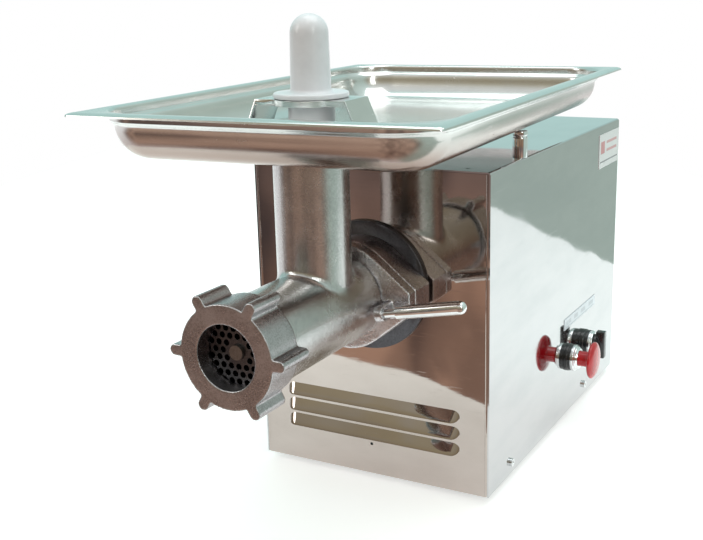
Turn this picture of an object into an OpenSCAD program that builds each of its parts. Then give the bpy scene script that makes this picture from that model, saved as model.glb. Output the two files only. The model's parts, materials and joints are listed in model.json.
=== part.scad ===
// Electric meat grinder: a mirror-bright sheet case holds a motor and a two-stage gearbox, which turn
// the auger of a grinding head that stands out of the front. A steel tray lies on the head's feed neck
// and on two posts, and a plunger hangs in a guard over the neck.
//
// Frame: origin on the floor, under the middle of the whole outline. +Y runs from the grinding head to
// the rear panel, +X to the side with the controls. Inside the modules the machine's own zero is used:
// x = 0 on the middle plane of the case, y = 0 on the front panel, z = 0 at the case's lower edge.

/* [Case] */
// Outside width of the case
case_w = 243; // [200:1:320]
// Depth of the case from the front panel to the rear panel
case_l = 399; // [332:1:480]
// Height of the case above its lower edge
case_h = 304; // [290:1:370]
// Thickness of the stainless sheet
sheet_t = 1.5; // [1:0.1:2]
// Outer radius of the bends along the top edges
bend_r = 3; // [2.5:0.5:8]
// Width of the folded edges of the panels
fold_w = 12; // [8:1:16]
// Radius of a rubber foot
foot_r = 15; // [10:1:20]
// Height of a rubber foot
foot_h = 8; // [5:1:20]
// Distance of a foot's centre from the outside of the case
foot_inset = 45; // [30:1:60]
// Length of a louver between its round ends
louver_l = 174; // [80:1:180]
// Height of a louver
louver_h = 11.5; // [8:0.5:13]
// Distance between the centres of two louvers
louver_pitch = 16.2; // [15:0.1:20]
// Height of the lowest louver's centre above the case's lower edge
louver_z = 43; // [25:1:60]

/* [Tray] */
// Length of the tray over its rim
tray_l = 530; // [430:1:640]
// Width of the tray over its rim
tray_w = 325; // [270:1:400]
// Height of the tray from its underside to its rim
tray_h = 40.2; // [34:0.1:60]
// Width of the tray's flat rim
rim_w = 14; // [10:1:20]
// Corner radius of the tray's walls
tray_corner_r = 45; // [30:1:60]
// Radius between the tray's walls and its floor
tray_floor_r = 28; // [8:1:30]
// How far the tray's walls lean in on their way down
tray_lean = 4; // [0:0.5:6]
// Distance of the throat hole from the tray's front edge
throat_to_front = 112; // [85:1:140]
// How far the loose tray lies turned on the neck, in degrees
tray_yaw = 2.8; // [0:0.1:4]
// Radius of a tray post
post_r = 7; // [5:0.5:9]
// Height of a tray post above the case
post_h = 25; // [15:0.1:40]
// Distance of the tray posts behind the front panel
post_y = 89; // [60:1:140]
// Width of the plunger guard between its legs, at the top
guard_w = 82; // [74:1:110]
// Width of the guard's strip
guard_strip = 42; // [36:1:48]
// Height of the guard above the tray's floor
guard_h = 45; // [35:0.5:60]
// How far the loose guard lies to the side of the neck's axis
guard_slip = 2.5; // [0:0.1:3]
// Radius of the plunger's shaft
plunger_r = 19.2; // [17:0.1:22]
// Radius of the plunger's round stop
plunger_stop_r = 31; // [26:0.5:36]
// Radius of the plunger's handle at its foot
plunger_grip_r = 16.7; // [14:0.1:20]

/* [Head] */
// Height of the head's axis above the case's lower edge
head_z = 192; // [180:1:205]
// Radius of the grinder plate
plate_r = 35; // [29:0.1:42]
// Wall of the head round the plate, under the thread
thread_wall = 2.3; // [2:0.1:4]
// Height of the barrel's outside over the thread
barrel_step = 1.2; // [0.8:0.1:3]
// Width of the ledge in the bore on which the plate seats
plate_ledge = 4.5; // [3.5:0.1:6]
// Distance of the feed neck's axis in front of the panel
neck_y = 94; // [90:1:115]
// Outer radius of the feed neck
neck_r = 31.8; // [29:0.1:35]
// Bore radius of the feed neck
neck_bore_r = 26; // [24:0.1:27]
// Distance of the ring nut's face in front of the panel
nut_front = 227; // [205:1:270]
// Wall of the ring nut round the thread
nut_wall = 4.8; // [3.5:0.1:8]
// Length of the ring nut
nut_l = 37; // [32:1:42]
// Width of the ring nut's lip over the plate's edge
nut_hold = 8.6; // [5:0.1:11]
// Depth of the ring nut's mouth, from its face to the plate
nut_lip = 16.7; // [12:0.1:18]
// Height of a lug over the ring nut's outside
lug_h = 10.4; // [6:0.1:14]
// Width of a lug
lug_w = 9.5; // [7:0.5:13]
// Thickness of the grinder plate
plate_t = 10; // [7:0.5:11]
// Radius of one hole of the grinder plate
plate_hole_r = 2.5; // [1.5:0.1:2.8]
// Distance between neighbouring holes of the grinder plate
plate_pitch = 7; // [6.5:0.1:9]
// Advance of the ring nut's thread in one turn
thread_pitch = 3; // [2:0.5:4]
// Lead of the auger's flight
flight_lead = 42; // [30:1:60]
// Radius of the auger's core
core_r = 12; // [11:0.5:14]
// Radius of the pin that centres the plate
pin_r = 6; // [4:0.5:6.5]

/* [Clamp] */
// Radius of the round part of the clamp ring and the hub
lobe_r = 48.5; // [46:0.5:52]
// Distance of the lobes' tips from the axis
lobe_tip = 65; // [60:1:70]
// Height of a lobe's tip
lobe_tip_h = 20; // [14:1:26]
// Thickness of the clamp ring
ring_t = 13; // [10:1:16]
// Length of the hub in front of the seal disc
hub_l = 29; // [22:1:34]
// Radius of the head's tail in the hub
tail_r = 33; // [31:0.1:34]
// Radius of the dark seal disc
disc_r = 61.5; // [55:0.5:70]
// Thickness of the dark seal disc
disc_t = 4; // [3:0.5:6]
// Radius of the lever rod
lever_r = 5.9; // [4:0.1:7]
// Distance of the lever's rounded end from the axis
lever_reach = 128; // [100:1:150]
// Rise of the lever above the level, in degrees
lever_rise = 11.3; // [0:0.1:20]
// How far the lever's line passes below the axis
lever_drop = 15; // [0:0.5:20]

/* [Gearbox] */
// Teeth of the motor pinion
pinion_z = 20; // [18:1:22]
// Teeth of the wheel that the motor pinion drives
wheel_z = 60; // [58:1:62]
// Gear module of the first stage
stage1_m = 1.5; // [1.4:0.1:1.6]
// Teeth of the second stage's pinion
pinion2_z = 18; // [16:1:20]
// Gear module of the second stage
stage2_m = 2; // [1.8:0.1:2]
// Wall thickness of the gearbox
gearbox_wall = 6; // [5:0.5:8]
// Radius of the output shaft in its front bearing
output_r = 17.5; // [16:0.5:18]
// Radius of the intermediate shaft
layshaft_r = 10; // [8:0.5:11]

/* [Motor] */
// Outer radius of the motor's housing without its fins
motor_r = 75; // [70:1:78]
// Length of the motor's housing
motor_l = 150; // [140:1:160]
// Radius of the stator's bore
stator_bore_r = 46; // [44:0.5:50]
// Gap between the rotor and the stator
air_gap = 0.4; // [0.3:0.1:0.8]
// Radius of the motor shaft in its bearings
motor_shaft_r = 12.5; // [11:0.5:13]
// Number of fins around the motor
fin_count = 28; // [12:1:36]

/* [Controls] */
// Distance of the stop button behind the front panel
stop_y = 229; // [215:1:232]
// Height of the stop button above the case's lower edge
stop_z = 64.5; // [50:0.5:72]
// Distance of the selector switch behind the front panel
selector_y = 280; // [266:1:290]
// Height of the selector switch above the case's lower edge
selector_z = 66; // [50:0.5:72]
// Radius of the red mushroom head
mushroom_r = 20; // [17:0.5:22]
// Travel of the stop button
stop_travel = 5; // [3:0.5:6]
// Length of the selector's handle
handle_l = 30; // [24:1:34]
// Length of the strip label over the controls
label_l = 109; // [80:1:116]
// Height of the strip label
label_h = 12; // [8:1:16]

/* [Hidden] */
$fn = 72;
run_fit = 0.05;      // radial gap of a shaft that turns or slides in its bore
press_fit = 0.02;    // radial gap of pieces that are pressed or keyed together
loose = 0.3;         // gap between pieces that only lie against each other
// Outer outline, used to place the origin under its middle.
gland_out = 16;
tray_mid = tray_l / 2 - throat_to_front;
machine_x = tray_mid * sin(tray_yaw);
machine_y = (nut_front - case_l - gland_out) / 2;
// Case.
panel_w = case_w - 2 * sheet_t - 0.4;
base_t = 2;
screw_r = 2;
screw_z = 12.5;
screw_ys = [56.5, 287.6];
control_hole_r = 11.3;
foot_ys = [foot_inset, case_l - foot_inset];
// Head: the sizes round the plate follow from the plate.
thread_r = plate_r + thread_wall;
barrel_r = thread_r + barrel_step;
barrel_bore_r = plate_r - plate_ledge;
nut_r = thread_r + nut_wall;
nut_mouth_r = plate_r - nut_hold;
lug_tip_r = nut_r + lug_h;
tray_z = case_h + post_h;
// The posts stand on the case and under the flat of the tray's floor.
post_x = min(case_w / 2 - post_r, tray_w / 2 - rim_w - tray_lean - tray_floor_r - 2);
sheet_tray = 1;
guard_t = 1.5;
grip_l = 61.6;
guard_rim = 5;
neck_top = tray_z - head_z - loose;
spigot_r = neck_r - 3.8;
plate_face = nut_front - nut_lip;
mouth = plate_face - 2;
plate_back = plate_face - plate_t;
ring_back = disc_t + hub_l;
ring_front = ring_back + ring_t;
bush_r = 16;
flight_r = barrel_bore_r - 1;
flight_back = neck_y - neck_bore_r - 8;
knife_t = 10;
knife_front = plate_back - loose;
flight_l = knife_front - knife_t - flight_back;
flight_angle = 52;   // share of a turn that one flight's thickness takes
square_w = 14;
tang_w = 16;
tang_front = 20;
spigot_out_r = 42;
spigot_back = 8;
lever_y = ring_front + 16;
// Gearbox: both stages share one centre distance, so motor and output lie on one axis.
centre_d = (pinion_z + wheel_z) * stage1_m / 2;
output_z = round(2 * centre_d / stage2_m) - pinion2_z;
stage2_real_m = 2 * centre_d / (output_z + pinion2_z);
box_r = wheel_z * stage1_m / 2 + stage1_m + 4 + gearbox_wall;
box_y0 = spigot_back;
box_wall_y = box_y0 + 16;
stage2_y = box_wall_y + 4;
stage2_face = 22;
web_y = stage2_y + stage2_face + 4;
web_t = 13;
stage1_y = web_y + web_t + 3;
stage1_face = 16;
cover_y = stage1_y + stage1_face + 3;
cover_t = 12;
front_bearing_r = 31;
web_bearing_r = 27.5;
web_shaft_r = 15;
lay_bearing_r = 21;
bolt_circle_r = 37.5;
bolt_r = 3;
// Motor.
bell_t = 12;
bell_y = cover_y + cover_t;
stator_y = bell_y + 37;
core_l = 100;
shell_wall = 7;
rear_bell_y = bell_y + bell_t + motor_l;
motor_bearing_r = 26;
fan_y = rear_bell_y + bell_t + 6;
fan_l = 20;
fan_cover_l = 34;
fin_h = 5;
gear_angle = 20;
// Controls.
collar_r = 15;
stop_collar_t = 6;
stop_bezel_t = 7.5;
mushroom_gap = 10.5;
mushroom_t = 9;
stem_r = 8.3;
selector_collar_t = 9;
selector_bezel_t = 5;
selector_knob_t = 11.5;
label_y = 266.5;
label_z = 105;
plate_l = 75;
plate_h = 38;
film_t = 0.6;

// ---- Frames ----

// The machine's own zero: middle plane, front panel, lower edge of the case.
module at_machine() translate([machine_x, machine_y, foot_h]) children();

// A point on the head's axis, in the plane of the front panel.
module at_head() at_machine() translate([0, 0, head_z]) children();

// The middle of the tray's throat hole, on the tray's underside, turned as the tray lies.
module at_tray() at_machine() translate([0, -neck_y, tray_z]) rotate([0, 0, tray_yaw]) children();

// A point on the side of the case, with +Z out of that side.
module at_side(y, z) at_machine() translate([case_w / 2, y, z]) rotate([0, 90, 0]) children();

// The middle of the guard and the plunger, on the tray's underside.
module at_guard() at_tray() translate([guard_slip, 0, 0]) children();

// ---- Shapes that repeat ----

// A round bar along Y, from y0 to y1.
module rod_y(r, y0, y1) translate([0, y0, 0]) rotate([-90, 0, 0]) cylinder(r = r, h = y1 - y0);

// A flat outline in X and Z, as thick as from y0 to y1.
module slab_y(y0, y1) translate([0, y1, 0]) rotate([90, 0, 0]) linear_extrude(y1 - y0) children();

// An outline of radius and Y, turned round the Y axis.
module turned_y() rotate([-90, 0, 0]) rotate_extrude() children();

// A ring along Y.
module ring_y(r_out, r_in, y0, y1) turned_y() translate([r_in, y0]) square([r_out - r_in, y1 - y0]);

// A rectangle about the origin with round corners.
module round_rect(w, l, r) {
    square([w - 2 * r, l], center = true);
    square([w, l - 2 * r], center = true);
    for (x = [-1, 1], y = [-1, 1]) translate([x * (w / 2 - r), y * (l / 2 - r)]) circle(r);
}

// A rectangle that stands on the X axis, with its two upper corners rounded.
module arch_section(w, h, r) {
    translate([-w / 2, 0]) square([w, h - r]);
    translate([r - w / 2, 0]) square([w - 2 * r, h]);
    for (x = [-1, 1]) translate([x * (w / 2 - r), h - r]) circle(r);
}

// Two equal circles, one below the other, joined by straight sides.
module oblong(r, d) {
    circle(r);
    translate([0, -d]) circle(r);
    translate([-r, -d]) square([2 * r, d]);
}

// The two-lobed outline that the clamp ring and the hub share: straight sides run from the circle's
// tangent points to the tips.
module lobed_outline() {
    tip = [lobe_tip, lobe_tip_h / 2];
    lean = atan2(tip[1], tip[0]) + acos(lobe_r / norm(tip));
    touch = lobe_r * [cos(lean), sin(lean)];
    circle(lobe_r);
    polygon([tip, touch, [-touch[0], touch[1]], [-tip[0], tip[1]], [-tip[0], -tip[1]],
        [-touch[0], -touch[1]], [touch[0], -touch[1]], [tip[0], -tip[1]]]);
}

// Involute of an angle, in degrees.
function involute(a) = tan(a) * 180 / PI - a;

// Half the angle that a tooth takes at radius r. Its flanks keep a small backlash.
function tooth_half(r, m, z) = let (base = m * z / 2 * cos(gear_angle))
    90 / z * 0.95 + involute(gear_angle) - involute(acos(min(1, base / r)));

// Outline of a spur gear with a tooth on the +X axis.
module gear_outline(m, z) {
    base = m * z / 2 * cos(gear_angle);
    root = m * z / 2 - 1.2 * m;
    tip = m * z / 2 + 0.9 * m;
    low = max(base, root);
    steps = [0 : 4];
    radii = [for (i = steps) low + (tip - low) * i / 4];
    polygon([for (k = [0 : z - 1]) each concat(
        [root * [cos(k * 360 / z - tooth_half(low, m, z)), sin(k * 360 / z - tooth_half(low, m, z))]],
        [for (r = radii) r * [cos(k * 360 / z - tooth_half(r, m, z)), sin(k * 360 / z - tooth_half(r, m, z))]],
        [for (i = steps) let (r = radii[4 - i])
            r * [cos(k * 360 / z + tooth_half(r, m, z)), sin(k * 360 / z + tooth_half(r, m, z))]],
        [root * [cos(k * 360 / z + tooth_half(low, m, z)), sin(k * 360 / z + tooth_half(low, m, z))]])]);
}

// A sealed ball bearing along Y: two rings with a sunk shield between them on both faces.
module bearing_y(r_out, r_in, y0, w) {
    rim = (r_out - r_in) / 4;
    difference() {
        ring_y(r_out - press_fit, r_in + run_fit, y0, y0 + w);
        ring_y(r_out - rim, r_in + rim, y0 - 1, y0 + 0.6);
        ring_y(r_out - rim, r_in + rim, y0 + w - 0.6, y0 + w + 1);
    }
}

// Cross-section of a pan: walls that lean in on their way down, and rounded lower corners.
module pan_section(w, h, r, lean) {
    low = w / 2 - lean;
    polygon([[-w / 2, h], [-low, r], [low, r], [w / 2, h]]);
    translate([r - low, 0]) square([2 * (low - r), h]);
    intersection() {
        for (x = [-1, 1]) translate([x * (low - r), r]) circle(r);
        translate([-low, 0]) square([2 * low, r]);
    }
}

// A solid pan with round upright corners and a round edge along its floor.
module pan(w, l, h, corner, floor_r, lean) {
    rotate([90, 0, 90]) translate([0, 0, corner - w / 2]) linear_extrude(w - 2 * corner)
        pan_section(l, h, floor_r, lean);
    rotate([90, 0, 0]) translate([0, 0, corner - l / 2]) linear_extrude(l - 2 * corner)
        pan_section(w, h, floor_r, lean);
    for (x = [-1, 1], y = [-1, 1]) translate([x * (w / 2 - corner), y * (l / 2 - corner), 0])
        rotate_extrude() intersection() {
            pan_section(2 * corner, h, floor_r, lean);
            square([corner, h]);
        }
}

// ---- Case ----

// One bent sheet: left side, top and right side.
module case_shell() color("gainsboro") at_machine() difference() {
    slab_y(0, case_l) difference() {
        arch_section(case_w, case_h, bend_r);
        translate([0, -1]) arch_section(case_w - 2 * sheet_t, case_h - sheet_t + 1, bend_r - sheet_t);
    }
    for (x = [-1, 1]) translate([x * post_x, post_y, case_h - 5]) cylinder(r = 4.2, h = 9);
    for (y = [stop_y, selector_y]) translate([case_w / 2 - 5, y, y == stop_y ? stop_z : selector_z])
        rotate([0, 90, 0]) cylinder(r = control_hole_r, h = 9);
    for (x = [-1, 1], y = screw_ys) translate([x * case_w / 2 - 5, y, screw_z])
        rotate([0, 90, 0]) cylinder(r = screw_r + 0.2, h = 10);
    translate([case_w / 2 - 27, 14, case_h - 5]) cylinder(r = 1.8, h = 9);
}

// Flat panel with edges folded inwards; its outer face lies at y = 0 and its folds run towards +Y.
module folded_panel() {
    h = case_h - sheet_t - 0.4;
    translate([0, 0, 0.2]) {
        slab_y(0, sheet_t) translate([0, h / 2]) round_rect(panel_w, h, 1.4);
        for (x = [-1, 1]) translate([x * (panel_w / 2 - sheet_t / 2) - sheet_t / 2, 0, base_t + 16])
            cube([sheet_t, fold_w, h - base_t - 16 - 1.4]);
        translate([-panel_w / 2 + 1.4, 0, h - sheet_t]) cube([panel_w - 2.8, fold_w, sheet_t]);
    }
}

// One pressed louver: a hood that leans out of the sheet and opens downwards, with round ends.
module louver() {
    r = louver_h / 2;
    translate([-louver_l / 2, 0, 0]) rotate([90, 0, 90]) linear_extrude(louver_l) polygon([
        [0, r + 0.5], [0, r], [-r, -r], [sheet_t - r, -r], [sheet_t, r - 0.5], [sheet_t, r + 0.5]]);
    for (x = [-1, 1]) translate([x * louver_l / 2, 0, 0]) difference() {
        sphere(r);
        sphere(r - 1.2);
        translate([x > 0 ? -2 * r : 0, -r - 1, -r - 1]) cube([2 * r, 2 * r + 2, 2 * r + 2]);
        translate([-r - 1, 0, -r - 1]) cube(2 * r + 2);
    }
}

// Front panel with the opening for the gearbox hub and three louvers.
module front_panel() color("silver") at_machine() {
    zs = [for (i = [0 : 2]) louver_z + i * louver_pitch];
    difference() {
        folded_panel();
        translate([0, 0, head_z]) rod_y(spigot_out_r + 1, -1, sheet_t + 1);
        translate([0, 0, louver_z - 12]) rod_y(1.5, -1, sheet_t + 1);
        for (z = zs) translate([0, 0, z]) slab_y(-1, sheet_t + 1)
            round_rect(louver_l + louver_h - 2.4, louver_h - 1.2, louver_h / 2 - 1.2);
    }
    for (z = zs) translate([0, 0, z]) louver();
}

// Rear panel with rows of air slots over the fan and a hole for the cable gland.
module rear_panel() color("silver") at_machine() difference() {
    translate([0, case_l, 0]) mirror([0, 1, 0]) folded_panel();
    for (i = [-4 : 4]) translate([0, 0, head_z + i * 13]) slab_y(case_l - sheet_t - 1, case_l + 1)
        round_rect(110, 5, 2.4);
    translate([-70, 0, 45]) rod_y(8.3, case_l - sheet_t - 1, case_l + 1);
}

// Base plate with two edges folded up against the sides of the case.
module base_plate() color("lightgrey") at_machine() difference() {
    union() {
        translate([-panel_w / 2, 2, 0.2]) cube([panel_w, case_l - 4, base_t]);
        for (x = [-1, 1]) translate([x * (panel_w / 2 - sheet_t / 2) - sheet_t / 2, 14, 0.2])
            cube([sheet_t, case_l - 28, 17.5]);
    }
    for (x = [-1, 1], y = foot_ys) translate([x * (case_w / 2 - foot_inset), y, -1]) cylinder(r = 3.2, h = 5);
    for (x = [-1, 1], y = screw_ys) translate([x * panel_w / 2 - 5, y, screw_z])
        rotate([0, 90, 0]) cylinder(r = screw_r + run_fit, h = 10);
    for (i = [0 : 7]) translate([-50, case_l / 2 + 30 + i * 12, -1]) cube([100, 5, 5]);
}

// Four rubber feet with a sunk seat for their screws.
module feet() color("#1c1c1e") at_machine()
    for (x = [-1, 1], y = foot_ys) translate([x * (case_w / 2 - foot_inset), y, -foot_h]) difference() {
        cylinder(r1 = foot_r - 2, r2 = foot_r, h = foot_h);
        translate([0, 0, -1]) cylinder(r = 6.5, h = foot_h / 2 + 1);
        cylinder(r = 3.2, h = foot_h + 1);
    }

// Screws of the feet, each with its nut on the base plate.
module foot_screws() color("silver") at_machine()
    for (x = [-1, 1], y = foot_ys) translate([x * (case_w / 2 - foot_inset), y, 0]) {
        translate([0, 0, -foot_h / 2]) cylinder(r = 3, h = foot_h / 2 + base_t + 7);
        translate([0, 0, -foot_h / 2 - 3]) cylinder(r = 5.5, h = 3);
        translate([0, 0, base_t + 0.3]) cylinder(r = 5.7, h = 5, $fn = 6);
    }

// Screws through the sides of the case into the base plate's folds.
module side_screws() color("silver") at_machine()
    for (x = [-1, 1], y = screw_ys) translate([x * case_w / 2, y, screw_z]) rotate([0, 90 * x, 0]) {
        translate([0, 0, -9]) cylinder(r = screw_r, h = 9.5);
        difference() {
            translate([0, 0, 0.02]) cylinder(r = 4, h = 2.6);
            translate([0, 0, 1.4]) cylinder(r = 1.8, h = 3, $fn = 6);
        }
    }

// Two chrome posts that carry the tray, with their nuts under the case's top.
module tray_posts() color("silver") at_machine()
    for (x = [-1, 1]) translate([x * post_x, post_y, case_h]) {
        translate([0, 0, 0.02]) cylinder(r = post_r, h = post_h - 6);
        translate([0, 0, post_h - 6]) cylinder(r = post_r - 0.8, h = 1.6);
        translate([0, 0, post_h - 4.5]) cylinder(r = post_r, h = 4.5 - loose);
        translate([0, 0, -10]) cylinder(r = 3.5, h = 11);
    }

// Strip label over the controls.
module control_label() color("white") at_side(label_y, label_z) linear_extrude(film_t)
    square([label_h, label_l], center = true);

// Blank plate near the top rear corner.
module blank_plate() color("white") at_side(case_l - plate_l / 2 - 3, case_h - plate_h / 2 - 10)
    linear_extrude(film_t) square([plate_h, plate_l], center = true);

// Cable gland in the rear panel: body, lock nut inside and dome nut outside.
module cable_gland() color("#222222") at_machine() translate([-70, 0, 45]) difference() {
    union() {
        rod_y(8, case_l - 14, case_l + gland_out);
        translate([0, case_l + 0.02, 0]) rotate([-90, 0, 0]) cylinder(r = 12.5, h = 6, $fn = 6);
        rod_y(11, case_l + 5.9, case_l + gland_out - 1);
        translate([0, case_l - sheet_t - 5.02, 0]) rotate([-90, 0, 0]) cylinder(r = 12.5, h = 5, $fn = 6);
    }
    rod_y(5, case_l - 16, case_l + gland_out + 1);
}

// ---- Grinding head ----

// Dark disc that seals the panel's opening.
module seal_disc() color("#3a3d44") at_head() ring_y(disc_r, spigot_out_r + loose, -disc_t, -0.02);

// Cast hub of the gearbox: its lobes face the clamp ring, its socket takes the head's tail.
module hub_flange() color("#8c8c8c") at_head() difference() {
    union() {
        slab_y(-ring_back, -disc_t - 0.02) lobed_outline();
        rod_y(spigot_out_r, -disc_t - 1, spigot_back);
    }
    rod_y(tail_r + run_fit, -ring_back - 1, 2.5);
    rod_y(front_bearing_r - 4, 2, spigot_back + 1);
    for (a = [45 : 90 : 315]) rotate([0, a, 0]) translate([bolt_circle_r, 0, 0])
        rod_y(bolt_r + press_fit, -12, spigot_back + 1);
}

// Screws that hold the hub to the gearbox.
module hub_bolts() color("#55585c") at_head() for (a = [45 : 90 : 315])
    rotate([0, a, 0]) translate([bolt_circle_r, 0, 0]) {
        rod_y(bolt_r, -11, box_wall_y + 1);
        rod_y(5, box_wall_y + 0.02, stage2_y - 1);
    }

// Cast head: barrel, feed neck with the spigot for the tray, threaded mouth and tail.
module head_body() color("#a8a59e") at_head() difference() {
    union() {
        rod_y(barrel_r, nut_l - nut_front, -ring_front - loose);
        rod_y(thread_r, -mouth, nut_l - nut_front + 1);
        rod_y(tail_r, -ring_front - 1, 2);
        translate([0, -neck_y, 0]) cylinder(r = neck_r, h = neck_top);
        translate([0, -neck_y, 0]) cylinder(r = spigot_r, h = neck_top + 5);
    }
    rod_y(barrel_bore_r, -mouth - 1, -flight_back + 3);
    rod_y(plate_r + run_fit, -mouth - 1, -plate_back);
    rod_y(bush_r + press_fit, -flight_back - 1, 3);
    translate([0, -neck_y, 0]) cylinder(r = neck_bore_r, h = neck_top + 6);
    translate([-2.6, -mouth - 1, -plate_r - 1]) cube([5.2, mouth - plate_back + 1, 6]);
}

// Bronze bush in the head's tail, in which the auger turns.
module head_bush() color("#b08d57") at_head() ring_y(bush_r, core_r + run_fit, -flight_back + 3, -tang_front - 1);

// Key that stops the grinder plate from turning in the head.
module plate_key() color("silver") at_head()
    translate([-2.5, -mouth, -plate_r - 0.9]) cube([5, mouth - plate_back - 0.1, 2.8]);

// The lever's line: it passes below the axis and rises outwards.
module at_lever() translate([0, 0, -lever_drop]) rotate([0, -lever_rise, 0]) children();

// Clamp ring that locks the head in the hub, with the socket for its lever.
module clamp_ring() color("#85817c") at_head() difference() {
    union() {
        slab_y(-ring_front, -ring_back - loose) lobed_outline();
        at_lever() translate([barrel_r + 8, -lever_y, 0]) {
            rotate([0, 90, 0]) cylinder(r = 7, h = 8, center = true);
            translate([-4, 0, -7]) cube([8, lever_y - ring_front + 1, 14]);
        }
    }
    rod_y(tail_r + run_fit, -ring_front - 1, -ring_back);
    rod_y(barrel_r + 1, -lever_y - 10, -ring_front);
    at_lever() translate([barrel_r + 3, -lever_y, 0]) rotate([0, 90, 0]) cylinder(r = 4, h = 12);
}

// Lever of the clamp ring: a rod with a thinner screwed end and a rounded tip.
module clamp_lever() color("silver") at_head() at_lever() translate([0, -lever_y, 0]) {
    start = barrel_r + 4;
    translate([start, 0, 0]) rotate([0, 90, 0]) cylinder(r = 4 - press_fit, h = 24);
    translate([start + 20, 0, 0]) rotate([0, 90, 0])
        cylinder(r = lever_r, h = lever_reach - lever_r - start - 20);
    translate([lever_reach - lever_r, 0, 0]) sphere(lever_r);
}

// Grinder plate: a row pattern of round holes and a middle hole for the auger's pin.
module grinder_plate() color("#77787c") at_head() slab_y(-plate_face, -plate_back) difference() {
    circle(plate_r);
    circle(pin_r + run_fit);
    translate([-2.7, -plate_r - 1]) square([5.4, 3.2]);
    for (j = [-4 : 4], i = [-4 : 4]) {
        p = [(i + (abs(j) % 2) / 2) * plate_pitch, j * plate_pitch * sin(60)];
        if (norm(p) > pin_r + plate_hole_r + 1 && norm(p) < plate_r - plate_hole_r - 4) translate(p)
            circle(plate_hole_r, $fn = 24);
    }
}

// Ring nut with six lugs for a spanner. Its lip holds the plate in the head's mouth.
module ring_nut() color("#9b948c") at_head() difference() {
    union() {
        rod_y(nut_r, -nut_front, nut_l - nut_front - loose);
        slab_y(-nut_front, nut_l - nut_front - loose) for (k = [0 : 5]) rotate(k * 60) {
            translate([nut_r - 3, -lug_w / 2]) square([lug_tip_r - nut_r + 3 - lug_w / 2, lug_w]);
            translate([lug_tip_r - lug_w / 2, 0]) circle(lug_w / 2);
        }
    }
    rod_y(nut_mouth_r, -nut_front - 1, -plate_face + 1);
    rod_y(thread_r + loose, -plate_face - loose, nut_l - nut_front + 1);
}

// Auger: helical flight on a core, a square for the knife, a pin for the plate and a tang for the drive.
module auger() color("#b5b5b8") at_head() {
    rod_y(core_r, -knife_front + knife_t, -tang_front - loose);
    translate([0, -flight_back, 0]) rotate([90, 0, 0])
        linear_extrude(flight_l - 0.5, twist = -360 * flight_l / flight_lead,
            slices = round(14 * flight_l / flight_lead))
            polygon(concat([[0, 0]], [for (i = [0 : 3])
                flight_r * [cos(i * flight_angle / 3), sin(i * flight_angle / 3)]]));
    translate([-square_w / 2, -knife_front, -square_w / 2]) cube([square_w, knife_t + 2, square_w]);
    rod_y(pin_r, -plate_face - 3, -knife_front + 1);
    translate([-tang_w / 2, -tang_front - 1, -tang_w / 2]) cube([tang_w, tang_front - 1, tang_w]);
}

// Four-winged knife on the auger's square.
module knife() color("#c8c8cc") at_head() slab_y(-knife_front, -knife_front + knife_t - 0.3) difference() {
    union() {
        circle(14);
        for (k = [0 : 3]) rotate(k * 90) polygon([[4, -9], [16, -5], [barrel_bore_r - 2.5, -8],
            [barrel_bore_r - 1.7, -2], [18, 3], [6, 11]]);
    }
    square(square_w + 0.1, center = true);
}

// ---- Tray ----

// Pressed steel tray with a flat rim and the throat hole.
module tray() color("#cfd8d4") at_tray() difference() {
    translate([0, tray_mid, 0]) {
        pan(tray_w - 2 * rim_w + 2 * sheet_tray, tray_l - 2 * rim_w + 2 * sheet_tray, tray_h,
            tray_corner_r, tray_floor_r, tray_lean);
        translate([0, 0, tray_h - 3]) linear_extrude(3) round_rect(tray_w, tray_l, 6);
    }
    translate([0, tray_mid, sheet_tray]) pan(tray_w - 2 * rim_w, tray_l - 2 * rim_w, tray_h,
        tray_corner_r - sheet_tray, tray_floor_r - sheet_tray, tray_lean);
    translate([0, tray_mid, tray_h - 4]) linear_extrude(4 - sheet_tray) difference() {
        round_rect(tray_w - 2 * sheet_tray, tray_l - 2 * sheet_tray, 5);
        round_rect(tray_w - 2 * rim_w + 2 * sheet_tray, tray_l - 2 * rim_w + 2 * sheet_tray, tray_corner_r);
    }
    translate([0, 0, -1]) cylinder(r = spigot_r + 0.8, h = 4);
}

// Outline of the guard's top, seen from above and drawn in by cut.
module guard_outline(cut) {
    circle(plunger_r + 13 - cut);
    square([guard_w, guard_strip - 2 * cut], center = true);
}

// Guard over the throat: a strip with a ring for the plunger, rims that are folded down, and two legs
// that spread to the floor.
module tray_guard() color("#c3cbc8") at_guard() {
    top = guard_w / 2;
    foot = top + 0.4 * (guard_h - sheet_tray);
    sole = sheet_tray + press_fit;
    difference() {
        union() {
            translate([0, 0, guard_h - guard_t]) linear_extrude(guard_t) guard_outline(0);
            translate([0, 0, guard_h - guard_rim]) linear_extrude(guard_rim - 0.1) difference() {
                guard_outline(0);
                guard_outline(guard_t);
            }
        }
        translate([0, 0, guard_h - guard_rim - 1]) cylinder(r = plunger_r + 2.3, h = guard_rim + 4);
    }
    for (x = [0, 1]) mirror([x, 0, 0]) translate([0, guard_strip / 2, 0]) rotate([90, 0, 0])
        linear_extrude(guard_strip) polygon([[top - guard_t, guard_h], [top, guard_h],
            [foot, sole + guard_t], [foot + 10, sole + guard_t], [foot + 10, sole], [foot - guard_t, sole]]);
}

// White plunger: a domed handle over a round stop and the shaft that pushes the meat.
module plunger() color("white") at_guard() translate([0, 0, guard_h + loose]) {
    dome_r = plunger_grip_r - 1;
    cylinder(r = plunger_stop_r, h = 4.5);
    translate([0, 0, -guard_h - 80]) cylinder(r = plunger_r, h = guard_h + 81);
    translate([0, 0, 4.9]) cylinder(r1 = plunger_grip_r, r2 = dome_r, h = grip_l - dome_r);
    translate([0, 0, 4.9 + grip_l - dome_r]) sphere(dome_r);
}

// ---- Gearbox ----

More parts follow.
